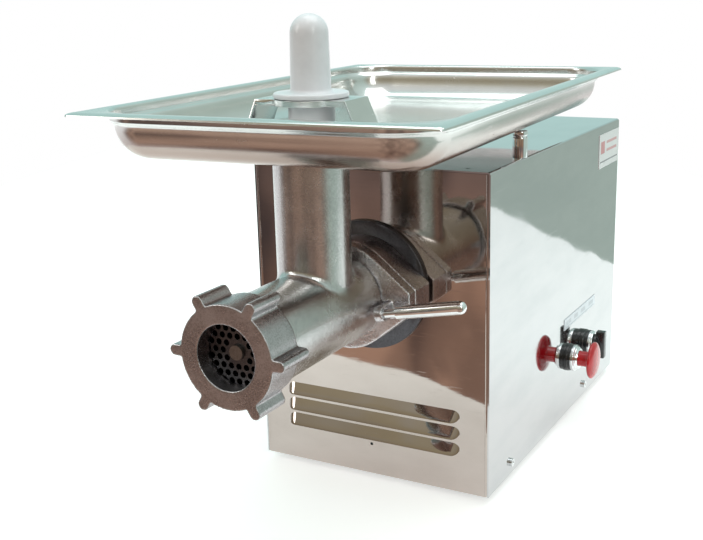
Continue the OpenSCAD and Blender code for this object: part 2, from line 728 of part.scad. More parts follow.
// Housing: closed front wall with both front bearings' seats, open at the rear.
module gearbox_housing() color("#6f7a80") at_head() difference() {
    slab_y(box_y0 + 0.02, cover_y - 0.02) oblong(box_r, centre_d);
    slab_y(box_wall_y, cover_y + 1) oblong(box_r - gearbox_wall, centre_d);
    rod_y(front_bearing_r, box_y0 + 1.5, box_wall_y + 1);
    rod_y(output_r + 2, box_y0 - 1, box_wall_y);
    translate([0, 0, -centre_d]) rod_y(lay_bearing_r, box_y0 + 3, box_wall_y + 1);
    for (a = [45 : 90 : 315]) rotate([0, a, 0]) translate([bolt_circle_r, 0, 0])
        rod_y(bolt_r + 0.3, box_y0 - 1, box_wall_y + 1);
}

// Plate between the two stages, with the output shaft's rear bearing.
module bearing_plate() color("#6f7a80") at_head() difference() {
    slab_y(web_y, web_y + web_t - 0.1) oblong(box_r - gearbox_wall - press_fit, centre_d);
    rod_y(web_bearing_r, web_y - 1, web_y + web_t + 1);
    translate([0, 0, -centre_d]) rod_y(pinion2_z * stage2_real_m / 2 + stage2_real_m + 2, web_y - 1, web_y + web_t + 1);
}

// Rear cover of the gearbox, to which the motor is flanged.
module gearbox_cover() color("#6f7a80") at_head() difference() {
    slab_y(cover_y + 0.02, cover_y + cover_t - 0.02) oblong(box_r, centre_d);
    rod_y(motor_shaft_r + 4, cover_y - 1, cover_y + cover_t + 1);
    translate([0, 0, -centre_d]) rod_y(lay_bearing_r, cover_y - 1, cover_y + cover_t - 2);
}

// The output shaft's two bearings.
module output_bearings() color("#9aa0a6") at_head() {
    bearing_y(front_bearing_r, output_r, box_y0 + 1.6, box_wall_y - box_y0 - 2);
    bearing_y(web_bearing_r, web_shaft_r, web_y, web_t - 0.1);
}

// The intermediate shaft's two bearings.
module intermediate_bearings() color("#9aa0a6") at_head() translate([0, 0, -centre_d]) {
    bearing_y(lay_bearing_r, layshaft_r, box_y0 + 3.1, 12);
    bearing_y(lay_bearing_r, layshaft_r, cover_y + 0.1, cover_t - 2.2);
}

// Lip seal between the head's tail and the gearbox.
module shaft_seal() color("#2b2320") at_head()
    ring_y(front_bearing_r - 4 - press_fit, output_r + run_fit, 2.6, spigot_back - 0.1);

// Output shaft with the square socket for the auger's tang.
module output_shaft() color("#8d9094") at_head() difference() {
    union() {
        rod_y(output_r, 2.6, box_wall_y + 1);
        rod_y(output_r + 2, box_wall_y, stage2_y - 0.1);
        rod_y(web_shaft_r, box_wall_y, web_y + web_t + 1);
        rod_y(bush_r - 0.5, -tang_front, 3);
    }
    translate([-tang_w / 2 - 0.05, -tang_front - 1, -tang_w / 2 - 0.05])
        cube([tang_w + 0.1, tang_front - 1, tang_w + 0.1]);
}

// Large gear of the second stage, on the output shaft.
module output_gear() color("#a39a86") at_head() slab_y(stage2_y, stage2_y + stage2_face) difference() {
    rotate(-90 + 180 / output_z) gear_outline(stage2_real_m, output_z);
    circle(web_shaft_r + press_fit);
    for (k = [0 : 5]) rotate(k * 60) translate([28, 0]) circle(6);
}

// Intermediate shaft with the second stage's pinion cut on it.
module intermediate_shaft() color("#8d9094") at_head() translate([0, 0, -centre_d]) {
    rod_y(layshaft_r, box_y0 + 4, cover_y + cover_t - 3);
    slab_y(stage2_y - 1, stage2_y + stage2_face + 1) rotate(90) gear_outline(stage2_real_m, pinion2_z);
}

// Large gear of the first stage, on the intermediate shaft.
module intermediate_gear() color("#a39a86") at_head() translate([0, 0, -centre_d])
    slab_y(stage1_y, stage1_y + stage1_face) difference() {
        rotate(90 + 180 / wheel_z) gear_outline(stage1_m, wheel_z);
        circle(layshaft_r + press_fit);
        for (k = [0 : 5]) rotate(k * 60) translate([27, 0]) circle(8);
    }

// ---- Motor ----

// Ribbed housing of the motor.
module motor_housing() color("#5d6b74") at_head() slab_y(bell_y + bell_t + 0.02, rear_bell_y - 0.02)
    difference() {
        union() {
            circle(motor_r);
            for (k = [0 : fin_count - 1]) rotate(k * 360 / fin_count) translate([0, -1])
                square([motor_r + fin_h, 2]);
        }
        circle(motor_r - shell_wall);
    }

// End plate of the motor, bolted to the gearbox.
module motor_front_bell() color("#5d6b74") at_head() difference() {
    rod_y(motor_r, bell_y, bell_y + bell_t);
    rod_y(motor_bearing_r, bell_y - 1, bell_y + bell_t + 1);
}

// End plate of the motor at the fan.
module motor_rear_bell() color("#5d6b74") at_head() difference() {
    rod_y(motor_r, rear_bell_y, rear_bell_y + bell_t);
    rod_y(motor_bearing_r, rear_bell_y - 1, rear_bell_y + bell_t + 1);
}

// The motor shaft's two bearings.
module motor_bearings() color("#9aa0a6") at_head() {
    bearing_y(motor_bearing_r, motor_shaft_r, bell_y + 0.1, bell_t - 0.2);
    bearing_y(motor_bearing_r, motor_shaft_r, rear_bell_y + 0.1, bell_t - 0.2);
}

// Laminated core of the stator.
module stator_core() color("#44474b") at_head()
    ring_y(motor_r - shell_wall - press_fit, stator_bore_r, stator_y, stator_y + core_l);

// Winding heads on both ends of the stator's core.
module stator_windings() color("#a4552a") at_head() {
    ring_y(motor_r - shell_wall - 2, stator_bore_r + 3, stator_y - 16, stator_y - 0.1);
    ring_y(motor_r - shell_wall - 2, stator_bore_r + 3, stator_y + core_l + 0.1, stator_y + core_l + 16);
}

// Core of the rotor.
module rotor_core() color("#6a6d70") at_head()
    ring_y(stator_bore_r - air_gap, motor_shaft_r + 1.5 + press_fit, stator_y, stator_y + core_l);

// Motor shaft: from the pinion in the gearbox to the fan.
module motor_shaft() color("#8d9094") at_head() {
    rod_y(8, stage1_y - 1, bell_y);
    rod_y(motor_shaft_r, bell_y - 1, fan_y + fan_l);
    rod_y(motor_shaft_r + 1.5, stator_y - 1, stator_y + core_l + 1);
}

// Pinion on the motor shaft.
module motor_pinion() color("#a39a86") at_head() slab_y(stage1_y, stage1_y + stage1_face) difference() {
    rotate(-90) gear_outline(stage1_m, pinion_z);
    circle(8 + press_fit);
}

// Fan with seven straight blades.
module fan() color("#2e3236") at_head() {
    ring_y(20, motor_shaft_r + press_fit, fan_y, fan_y + fan_l - 1);
    slab_y(fan_y, fan_y + 2) difference() {
        circle(motor_r - 12);
        circle(19);
    }
    for (k = [0 : 6]) rotate([0, k * 360 / 7, 0]) translate([19, fan_y, -1]) cube([motor_r - 33, fan_l - 2, 2]);
}

// Perforated cover over the fan.
module fan_cover() color("#39434a") at_head() difference() {
    rod_y(motor_r + 1.6, rear_bell_y + bell_t - 8, fan_y + fan_cover_l);
    rod_y(motor_r + 0.1, rear_bell_y, fan_y + fan_cover_l - 1.5);
    for (r = [24 : 12 : 60], k = [0 : 11]) rotate([0, k * 30 + r, 0]) translate([r, 0, 0])
        rod_y(3, fan_y + fan_cover_l - 4, fan_y + fan_cover_l + 1);
}

// Cradle that carries the motor on the base plate.
module motor_cradle() color("#4a5258") at_machine() difference() {
    union() {
        for (y = [bell_y + 30, rear_bell_y - 34]) translate([-60, y, base_t + 0.22]) cube([120, 5, head_z - 60]);
        translate([-60, bell_y + 26, base_t + 0.22]) cube([120, motor_l - 52, 4]);
    }
    translate([0, 0, head_z]) rod_y(motor_r + fin_h + 0.1, bell_y, rear_bell_y);
}

// Run capacitor on the base plate, held by its foot.
module capacitor() color("#d8d8d4") at_machine() translate([-90, 0, 0]) {
    translate([0, 0, base_t + 32]) rod_y(23, case_l / 2 - 20, case_l / 2 + 75);
    translate([-15, case_l / 2 - 10, base_t + 0.22]) cube([30, 70, 12]);
}

// ---- Controls ----

// Red mushroom button on its stem.
module stop_button() color("#c4161c") at_side(stop_y, stop_z) {
    head_z0 = stop_collar_t + stop_bezel_t + mushroom_gap;
    translate([0, 0, -sheet_t - 9]) cylinder(r = stem_r, h = head_z0 + sheet_t + 10);
    translate([0, 0, head_z0]) rotate_extrude() intersection() {
        polygon([[0, 0], [stem_r, 0], [mushroom_r, 2.5], [mushroom_r, 20], [0, 20]]);
        translate([0, mushroom_t - 2.2 * mushroom_r]) circle(2.2 * mushroom_r);
    }
}

// Chrome bezel of the stop button, with the threaded tube through the case.
module stop_bezel() color("#d9d9dc") at_side(stop_y, stop_z) difference() {
    union() {
        translate([0, 0, stop_collar_t + 0.02]) cylinder(r = 14.3, h = 3.5);
        translate([0, 0, stop_collar_t + 3.5]) cylinder(r1 = 14.3, r2 = 11, h = stop_bezel_t - 3.5);
        translate([0, 0, -sheet_t - 10]) cylinder(r = 11, h = stop_collar_t + sheet_t + 11);
    }
    translate([0, 0, -sheet_t - 11]) cylinder(r = stem_r + run_fit, h = stop_collar_t + stop_bezel_t + 30);
}

// Black collar between the case and the stop button's bezel.
module stop_collar() color("#18181a") at_side(stop_y, stop_z) difference() {
    union() {
        translate([0, 0, 0.02]) cylinder(r = collar_r, h = 3);
        translate([0, 0, 2.9]) cylinder(r = collar_r - 0.7, h = stop_collar_t - 2.9);
    }
    translate([0, 0, -1]) cylinder(r = 11 + press_fit, h = stop_collar_t + 2);
}

// Contact block of the stop button.
module stop_block() color("#2c2c30") at_side(stop_y, stop_z) translate([-15, -14, -sheet_t - 44]) difference() {
    cube([30, 28, 42]);
    translate([15, 14, 22]) cylinder(r = 11.1, h = 21);
}

// Selector knob with its straight handle.
module selector_knob() color("#151517") at_side(selector_y, selector_z) {
    z0 = selector_collar_t + selector_bezel_t;
    translate([0, 0, z0 + loose]) cylinder(r = 10.8, h = 3);
    translate([-handle_l / 2, -4.6, z0 + loose + 2]) cube([handle_l, 9.2, selector_knob_t - 2]);
    translate([0, 0, -sheet_t - 9]) cylinder(r = 5, h = z0 + sheet_t + 11);
}

// Chrome ring of the selector, with the threaded tube through the case.
module selector_bezel() color("#d9d9dc") at_side(selector_y, selector_z) difference() {
    union() {
        translate([0, 0, selector_collar_t + 0.02]) cylinder(r = 14.3, h = selector_bezel_t - 0.02);
        translate([0, 0, -sheet_t - 10]) cylinder(r = 11, h = selector_collar_t + sheet_t + 11);
    }
    translate([0, 0, -sheet_t - 11]) cylinder(r = 5 + run_fit, h = selector_collar_t + selector_bezel_t + 30);
}

// Black collar between the case and the selector's ring.
module selector_collar() color("#18181a") at_side(selector_y, selector_z) difference() {
    union() {
        translate([0, 0, 0.02]) cylinder(r = collar_r, h = 4.2);
        translate([0, 0, 4.1]) cylinder(r = collar_r - 0.7, h = selector_collar_t - 4.1);
    }
    translate([0, 0, -1]) cylinder(r = 11 + press_fit, h = selector_collar_t + 2);
}

// Contact block of the selector.
module selector_block() color("#2c2c30") at_side(selector_y, selector_z) translate([-15, -14, -sheet_t - 44])
    difference() {
        cube([30, 28, 42]);
        translate([15, 14, 22]) cylinder(r = 11.1, h = 21);
    }

case_shell();
front_panel();
rear_panel();
base_plate();
feet();
foot_screws();
side_screws();
tray_posts();
control_label();
blank_plate();
cable_gland();
seal_disc();
hub_flange();
hub_bolts();
head_body();
head_bush();
plate_key();
clamp_ring();
clamp_lever();
grinder_plate();
ring_nut();
auger();
knife();
tray();
tray_guard();
plunger();
gearbox_housing();
bearing_plate();
gearbox_cover();
output_bearings();
intermediate_bearings();
shaft_seal();
output_shaft();
output_gear();
intermediate_shaft();
intermediate_gear();
motor_housing();
motor_front_bell();
motor_rear_bell();
motor_bearings();
stator_core();
stator_windings();
rotor_core();
motor_shaft();
motor_pinion();
fan();
fan_cover();
motor_cradle();
capacitor();
stop_button();
stop_bezel();
stop_collar();
stop_block();
selector_knob();
selector_bezel();
selector_collar();
selector_block();
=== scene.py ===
"""Looks of an electric meat grinder: mirror-bright case, cast grinding head, steel tray and plunger."""
import json
import math

import bpy
from mathutils import Matrix, Vector


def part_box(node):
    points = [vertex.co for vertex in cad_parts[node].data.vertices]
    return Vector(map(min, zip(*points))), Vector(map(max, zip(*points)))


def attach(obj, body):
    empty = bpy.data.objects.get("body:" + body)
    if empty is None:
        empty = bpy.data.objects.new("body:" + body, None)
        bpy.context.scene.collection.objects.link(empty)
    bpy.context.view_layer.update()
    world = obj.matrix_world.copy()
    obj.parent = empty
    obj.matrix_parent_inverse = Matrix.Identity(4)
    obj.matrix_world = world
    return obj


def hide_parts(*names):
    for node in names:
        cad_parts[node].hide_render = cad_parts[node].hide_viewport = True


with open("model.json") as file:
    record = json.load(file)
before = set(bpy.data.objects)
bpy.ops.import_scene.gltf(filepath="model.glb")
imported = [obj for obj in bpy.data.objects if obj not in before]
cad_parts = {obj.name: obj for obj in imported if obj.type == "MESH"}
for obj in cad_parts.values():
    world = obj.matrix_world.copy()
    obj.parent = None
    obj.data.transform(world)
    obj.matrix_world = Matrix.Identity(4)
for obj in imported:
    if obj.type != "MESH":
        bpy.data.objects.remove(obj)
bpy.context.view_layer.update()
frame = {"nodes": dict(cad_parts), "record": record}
nodes = frame["nodes"]

# ---- Camera ----
# A short telephoto at the height of the tray, in front of the machine's right corner.
CAMERA_PLACE = Vector((0.4659, -0.9337, 0.4679))
CAMERA_TURN = math.radians(29.04)
CAMERA_RISE = math.radians(14.62)
CAMERA_ROLL = math.radians(-1.41)

back = Vector((math.sin(CAMERA_TURN) * math.cos(CAMERA_RISE),
               -math.cos(CAMERA_TURN) * math.cos(CAMERA_RISE), math.sin(CAMERA_RISE)))
level = Vector((math.cos(CAMERA_TURN), math.sin(CAMERA_TURN), 0.0))
upright = back.cross(level)
right = level * math.cos(CAMERA_ROLL) + upright * math.sin(CAMERA_ROLL)
up = upright * math.cos(CAMERA_ROLL) - level * math.sin(CAMERA_ROLL)
lens = bpy.data.cameras.new("camera")
lens.sensor_width = 36.0
lens.lens = 54.56
lens.shift_x = -0.0126
lens.shift_y = -0.0071
lens.clip_end = 60.0
camera = bpy.data.objects.new("camera", lens)
bpy.context.scene.collection.objects.link(camera)
camera.matrix_world = Matrix((
    (right.x, up.x, back.x, CAMERA_PLACE.x),
    (right.y, up.y, back.y, CAMERA_PLACE.y),
    (right.z, up.z, back.z, CAMERA_PLACE.z),
    (0.0, 0.0, 0.0, 1.0)))
bpy.context.scene.camera = camera
bpy.context.scene.view_settings.view_transform = "Standard"


# ---- Studio ----
# A white table with a rounded front edge, a room that is bright behind the machine and brown in
# front of it, and soft lights overhead and at both front corners. The case mirrors all of this.
class Wire:
    """A socket of a node tree. Arithmetic on it adds Math nodes."""

    def __init__(self, tree, socket=None):
        self.tree = tree
        self.socket = socket

    def node(self, kind, settings=None, sockets=None, out=0):
        """A node of this kind: its settings first, then the values or links of its sockets."""
        made = self.tree.nodes.new("ShaderNode" + kind)
        for name, value in (settings or {}).items():
            if name == "stops":
                ramp = made.color_ramp
                while len(ramp.elements) < len(value):
                    ramp.elements.new(0.5)
                for element, (place, colour) in zip(ramp.elements, value):
                    element.position = place
                    element.color = (*colour, 1.0)
            else:
                setattr(made, name, value)
        for name, value in (sockets or {}).items():
            if isinstance(value, Wire):
                self.tree.links.new(value.socket, made.inputs[name])
            elif isinstance(value, tuple) and made.inputs[name].type == "RGBA":
                made.inputs[name].default_value = (*value, 1.0)
            else:
                made.inputs[name].default_value = value
        return Wire(self.tree, made.outputs[out] if made.outputs else None)

    def math(self, operation, *values):
        return self.node("Math", {"operation": operation}, dict(enumerate(values)))

    def __add__(self, other):
        return self.math("ADD", self, other)

    def __radd__(self, other):
        return self.math("ADD", other, self)

    def __sub__(self, other):
        return self.math("SUBTRACT", self, other)

    def __rsub__(self, other):
        return self.math("SUBTRACT", other, self)

    def __mul__(self, other):
        return self.math("MULTIPLY", self, other)

    def __rmul__(self, other):
        return self.math("MULTIPLY", other, self)

    def __truediv__(self, other):
        return self.math("DIVIDE", self, other)

    def step(self, low, high):
        """0 below low and 1 above high, with a soft change between them."""
        return self.node("MapRange", {"interpolation_type": "SMOOTHSTEP"},
                         {"Value": self, "From Min": low, "From Max": high})

    def paint(self, first, second):
        """One colour where this is 0 and another where it is 1."""
        return self.node("Mix", {"data_type": "RGBA"}, {0: self, 6: first, 7: second}, out=2)

    def part(self, axis):
        """One coordinate of a vector."""
        return self.node("SeparateXYZ", {}, {0: self}, out=axis)

    def noise(self, size, detail=3.0, rough=0.5):
        """Soft random patches about this large, in metres, over the place that this wire gives."""
        return self.node("TexNoise", {}, {"Vector": self, "Scale": 1.0 / size, "Detail": detail,
                                          "Roughness": rough})

    def stretched(self, x, y, z):
        """The place, with patterns drawn out along the axes whose numbers are small."""
        return self.node("Mapping", {}, {"Vector": self, "Scale": (x, y, z)})


room = bpy.data.worlds.new("room")
bpy.context.scene.world = room
room.use_nodes = True
room.node_tree.nodes.clear()
start = Wire(room.node_tree)
ray = start.node("TexCoord", out="Generated")
height = ray.part(2)
toward_front = (0.0 - ray.part(1)).step(0.05, 0.45)
toward_side = ray.part(0).step(0.0, 0.2)
drapes = ray.stretched(7.0, 7.0, 1.6).noise(1.0, 3.0, 0.6).step(0.36, 0.62)
doorway = ray.part(0).step(-0.425, -0.385) * (1 - ray.part(0).step(-0.33, -0.26))
folds = ray.stretched(26.0, 26.0, 0.5).noise(1.0, 2.0).step(0.25, 0.6)
drapes = drapes.math("MAXIMUM", drapes, doorway * (0.45 + folds * 0.55))
front_wall = start.node("ValToRGB", {"stops": [
    (0.0, (0.62, 0.43, 0.33)), (0.15, (0.58, 0.37, 0.27)), (0.22, (0.26, 0.19, 0.17)),
    (0.255, (0.36, 0.22, 0.14)), (0.36, (0.30, 0.24, 0.17)), (0.62, (0.42, 0.38, 0.26)),
    (0.85, (0.8, 0.82, 0.8))]}, {"Fac": (height + 0.5) / 1.5})
front_shade = start.node("ValToRGB", {"stops": [
    (0.0, (0.16, 0.10, 0.08)), (0.2, (0.055, 0.05, 0.055)), (0.3, (0.10, 0.07, 0.05)),
    (0.5, (0.24, 0.22, 0.16)), (0.85, (0.8, 0.82, 0.8))]}, {"Fac": (height + 0.5) / 1.5})
front_wall = drapes.paint(front_shade, front_wall)
side_wall = height.step(0.1, 0.9).paint((0.49, 0.60, 0.54), (0.70, 0.85, 0.82))
rear_wall = height.step(0.01, 0.08).paint((1.0, 1.0, 1.0), (0.53, 0.765, 0.735))
walls = toward_side.paint(rear_wall, side_wall)
walls = toward_front.paint(walls, front_wall)
light = start.node("Background", {}, {"Color": walls, "Strength": 1.0})
start.node("OutputWorld", {}, {"Surface": light})

TABLE_ARC = (-0.238, 0.103, 0.505)
TABLE_SIDES = ((0.35, -0.17), (0.9, 0.1), (1.3, 0.9), (1.2, 1.745), (0.25, 0.795), (0.1, 1.5),
               (-0.6, 2.4), (-1.9, 2.0), (-1.5, 0.5))
bpy.ops.object.select_all(action="DESELECT")
bpy.ops.mesh.primitive_circle_add(vertices=96, radius=TABLE_ARC[2], fill_type="NGON",
                                  location=(TABLE_ARC[0], TABLE_ARC[1], 0.0))
table = bpy.context.object
table.name = "table"
bpy.ops.object.transform_apply(location=True)
edge = [Vector(v.co) for v in table.data.vertices if v.co.y < TABLE_ARC[1] and v.co.x < 0.01]
edge.sort(key=lambda v: v.x)
outline = edge + [Vector((x, y, 0.0)) for x, y in TABLE_SIDES]
top = bpy.data.meshes.new("table")
top.from_pydata(outline, [], [list(range(len(outline)))])
table.data = top
bpy.ops.object.mode_set(mode="EDIT")
bpy.ops.mesh.select_all(action="SELECT")
bpy.ops.mesh.extrude_region_move(TRANSFORM_OT_translate={"value": (0.0, 0.0, -0.02)})
bpy.ops.mesh.select_all(action="SELECT")
bpy.ops.mesh.normals_make_consistent(inside=False)
bpy.ops.object.mode_set(mode="OBJECT")
table_white = bpy.data.materials.new("table_white")
table_white.use_nodes = True
table_white.node_tree.nodes.clear()
start = Wire(table_white.node_tree)
cloud = start.node("TexCoord", out="Object").noise(0.3)
shader = start.node("BsdfPrincipled", {}, {
    "Base Color": cloud.paint((0.90, 0.90, 0.90), (0.94, 0.94, 0.94)), "Roughness": 0.6,
    "Emission Color": (1.0, 0.99, 0.98), "Emission Strength": 0.42})
start.node("OutputMaterial", {}, {"Surface": shader})
table.data.materials.append(table_white)


def soft_light(name, place, aim, width, height, power, tint=(1.0, 1.0, 1.0)):
    """A rectangular soft box at a place, turned towards a point."""
    lamp = bpy.data.lights.new(name, "AREA")
    lamp.shape = "RECTANGLE"
    lamp.size = width
    lamp.size_y = height
    lamp.energy = power
    lamp.color = tint
    holder = bpy.data.objects.new(name, lamp)
    bpy.context.scene.collection.objects.link(holder)
    holder.location = place
    holder.rotation_euler = (Vector(aim) - Vector(place)).to_track_quat("-Z", "Y").to_euler()


soft_light("overhead", (0.1, 0.2, 1.9), (0.0, 0.1, 0.0), 1.6, 1.4, 16.0)
soft_light("left_front", (-1.5, -1.5, 1.3), (0.0, -0.1, 0.2), 0.5, 1.3, 9.0, (1.0, 0.98, 0.95))
soft_light("right_front", (1.7, -1.3, 1.2), (0.0, -0.1, 0.2), 0.4, 1.2, 8.0, (0.95, 1.0, 0.99))


# ---- Case ----
# Bright stainless sheet: one bent shell, a rear panel with air slots and a base plate. The shell
# shows faint wipe marks, hairline scratches and the slight waviness of thin sheet.
def new_finish(name):
    """An empty material, and a wire that gives the place on the piece."""
    made = bpy.data.materials.new(name)
    made.use_nodes = True
    made.node_tree.nodes.clear()
    return made, Wire(made.node_tree).node("TexCoord", out="Object")


def close_finish(place, values):
    """Ends a material with the shader that has these values."""
    surface = place.node("BsdfPrincipled", {}, values, out="BSDF")
    place.node("OutputMaterial", {}, {"Surface": surface})


def bump(height, depth):
    """A relief of this depth in metres."""
    return height.node("Bump", {}, {"Height": height, "Distance": depth, "Strength": 1.0},
                       out="Normal")


def sheet_steel(name, tint, shade, rough, grain=(1.0, 1.0, 1.0), sway=0.0006, under=None):
    """Rolled stainless sheet with wipe marks, scratches and a slight waviness. Given a height and a colour
    under it, faces below that height which look down get that colour as painted shade."""
    made, place = new_finish(name)
    wipes = place.stretched(*grain).noise(0.05, 5.0, 0.6)
    hairs = place.stretched(*(g ** 3 for g in grain)).noise(0.006, 2.0)
    waves = place.noise(0.11, 1.0)
    colour = wipes.step(0.3, 0.75).paint(tint, shade)
    # Painted shade: down-facing faces low on the piece take the given darker colour, for the shaded table
    # that they reflect.
    if under:
        low, painted_shade_tint = under
        upward = place.node("NewGeometry", out="Normal").part(2).step(-0.2, 0.0)
        painted_shade = (1.0 - upward) * (1.0 - place.part(2).step(low, low + 0.03))
        colour = painted_shade.paint(colour, painted_shade_tint)
    close_finish(place, {
        "Base Color": colour,
        "Metallic": 1.0,
        "Roughness": rough + wipes.step(0.45, 0.8) * 0.06 + hairs.step(0.62, 0.75) * 0.07,
        "Normal": bump(waves + hairs * 0.004, sway)})
    return made


def dress(node, finish):
    """Gives a node of the frame its finish."""
    if not nodes[node].material_slots:
        nodes[node].data.materials.append(finish)
    for place in nodes[node].material_slots:
        place.material = finish


case_bright = sheet_steel("case_steel", (0.585, 0.575, 0.585), (0.53, 0.53, 0.54), 0.045,
                          (1.0, 0.5, 1.6), 0.0009)
base_bright = sheet_steel("base_steel", (0.55, 0.56, 0.56), (0.48, 0.49, 0.49), 0.28)
dress("case_shell", case_bright)
dress("rear_panel", case_bright)
dress("base_plate", base_bright)


# ---- Front panel ----
# Mirror-polished sheet with rolled upright edges and three louvers pressed out of it. Each louver is a
# flat slanting hood, open along its lower lip, whose round ends run out into the sheet.
def alone(piece):
    """Selects one piece only, and makes it the active one."""
    bpy.ops.object.select_all(action="DESELECT")
    piece.select_set(True)
    bpy.context.view_layer.objects.active = piece


def finish_with(piece, kind, **settings):
    """Adds a modifier with these settings and applies it."""
    modifier = piece.modifiers.new(kind.lower(), kind)
    for name, value in settings.items():
        setattr(modifier, name, value)
    alone(piece)
    bpy.ops.object.modifier_apply(modifier=modifier.name)


def put(piece, finish, body, node):
    """Gives a finished piece its material and its place in the frame."""
    piece.data.materials.clear()
    piece.data.materials.append(finish)
    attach(piece, body)
    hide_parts(node)


def copy_of(node, name):
    """A merged copy of a node's mesh, as a piece of its own."""
    piece = bpy.data.objects.new(name, nodes[node].data.copy())
    bpy.context.scene.collection.objects.link(piece)
    alone(piece)
    bpy.ops.mesh.customdata_custom_splitnormals_clear()
    bpy.ops.object.mode_set(mode="EDIT")
    bpy.ops.mesh.select_all(action="SELECT")
    bpy.ops.mesh.remove_doubles(threshold=0.000003)
    bpy.ops.mesh.dissolve_limited(angle_limit=math.radians(0.4))
    bpy.ops.object.mode_set(mode="OBJECT")
    return piece


LOUVER_L = 0.174
LOUVER_H = 0.0113
LOUVER_PITCH = 0.0162
LOUVER_LOW = 0.043
LOUVER_OUT = 0.0056
LOUVER_END = 0.009
HOOD_T = 0.0011
EDGE_R = 0.0016
EDGE_OUT = 0.0005
EDGE_INSET = 0.0012
HAIR = 0.00002

case_low, case_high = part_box("case_shell")
case_front = case_low.y
case_middle = (case_low.x + case_high.x) / 2

mirror = sheet_steel("mirror_panel", (0.53, 0.47, 0.44), (0.48, 0.42, 0.39), 0.035,
                     (0.6, 1.0, 1.4), 0.0012)
front_panel = copy_of("front_panel", "polished_front")
bpy.ops.object.select_all(action="DESELECT")
bpy.ops.mesh.primitive_cube_add(
    size=1.0, scale=(0.23, 0.01, 0.07),
    location=(case_middle, case_front - 0.005 - HAIR, case_low.z + LOUVER_LOW + LOUVER_PITCH))
shaved = bpy.context.object
finish_with(front_panel, "BOOLEAN", operation="DIFFERENCE", object=shaved, solver="EXACT")
bpy.data.objects.remove(shaved)
for vertex in front_panel.data.vertices:
    if abs(vertex.co.y - case_front) < 0.00005:
        vertex.co.y = case_front
alone(front_panel)
bpy.ops.object.mode_set(mode="EDIT")
bpy.ops.mesh.select_all(action="SELECT")
bpy.ops.mesh.remove_doubles(threshold=0.00003)
bpy.ops.mesh.quads_convert_to_tris()
bpy.ops.mesh.normals_make_consistent(inside=False)
bpy.ops.object.mode_set(mode="OBJECT")
bpy.ops.object.shade_flat()
reach = (LOUVER_L + LOUVER_H) / 2
for i in range(3):
    middle = case_low.z + LOUVER_LOW + i * LOUVER_PITCH
    bpy.ops.object.select_all(action="DESELECT")
    bpy.ops.mesh.primitive_grid_add(x_subdivisions=150, y_subdivisions=16, size=2.0)
    hood = bpy.context.object
    for vertex in hood.data.vertices:
        across, down = vertex.co.x, (1.0 - vertex.co.y) / 2
        along = math.copysign(1.0 - (1.0 - abs(across)) ** 1.8, across) * reach
        past = max(0.0, abs(along) - (reach - LOUVER_END)) / LOUVER_END
        width = math.sqrt(max(0.0, 1.0 - past ** 2.6))
        depth = max(0.0, 1.0 - past * past) ** 0.6
        lean = 1.04 * down - 0.04 * down ** 8
        vertex.co = (case_middle + along, case_front - LOUVER_OUT * depth * lean,
                     middle + LOUVER_H / 2 * width * (1.0 - 2.0 * down))
    alone(hood)
    bpy.ops.object.mode_set(mode="EDIT")
    bpy.ops.mesh.select_all(action="SELECT")
    bpy.ops.mesh.remove_doubles(threshold=0.00002)
    bpy.ops.mesh.normals_make_consistent(inside=False)
    bpy.ops.object.mode_set(mode="OBJECT")
    if hood.data.polygons[len(hood.data.polygons) // 2].normal.y > 0:
        hood.data.flip_normals()
    finish_with(hood, "SOLIDIFY", thickness=HOOD_T, offset=-1.0)
    bpy.ops.object.shade_smooth_by_angle(angle=math.radians(40))
    front_panel.select_set(True)
    bpy.context.view_layer.objects.active = front_panel
    bpy.ops.object.join()
for side in (-1, 1):
    bpy.ops.object.select_all(action="DESELECT")
    bpy.ops.mesh.primitive_cylinder_add(
        vertices=32, radius=EDGE_R, depth=case_high.z - case_low.z - 0.004,
        location=(case_middle + side * (case_high.x - case_middle - EDGE_R - EDGE_INSET),
                  case_front + EDGE_R - EDGE_OUT, (case_low.z + case_high.z) / 2))
    rolled = bpy.context.object
    bpy.ops.object.transform_apply(location=True)
    bpy.ops.object.shade_smooth_by_angle(angle=math.radians(40))
    front_panel.select_set(True)
    bpy.context.view_layer.objects.active = front_panel
    bpy.ops.object.join()
put(front_panel, mirror, "machine", "front_panel")


# ---- Feet and screws ----
# Black rubber feet under the base plate and bright turned screw heads in the sides of the case,
# with the bolts and the key that stay out of sight.
def rubber(name, colour):
    """Moulded rubber with a fine grain and dusty patches."""
    made, place = new_finish(name)
    dust = place.noise(0.01, 4.0)
    close_finish(place, {
        "Base Color": dust.step(0.4, 0.8).paint(colour, tuple(c + 0.03 for c in colour)),
        "Roughness": 0.62 + dust * 0.2,
        "Normal": bump(place.noise(0.0012, 2.0), 0.0001)})
    return made


def turned_steel(name, tint, rough, axis=1):
    """Turned or drawn bright steel: fine rings or lines round one axis."""
    made, place = new_finish(name)
    along = place.part(axis) * 9000.0
    cloud = place.noise(0.02, 4.0)
    close_finish(place, {
        "Base Color": cloud.step(0.35, 0.75).paint(tint, tuple(c * 0.86 for c in tint)),
        "Metallic": 1.0,
        "Roughness": rough + cloud.step(0.5, 0.8) * 0.08,
        "Normal": bump(along.math("SINE", along), 0.000003)})
    return made


def soften(piece, width, segments=2):
    """Rounds the sharp edges of a pressing or a moulding and smooths its shading."""
    finish_with(piece, "BEVEL", width=width, segments=segments, limit_method="ANGLE",
                angle_limit=math.radians(28), harden_normals=True)
    bpy.ops.object.shade_smooth_by_angle(angle=math.radians(30))


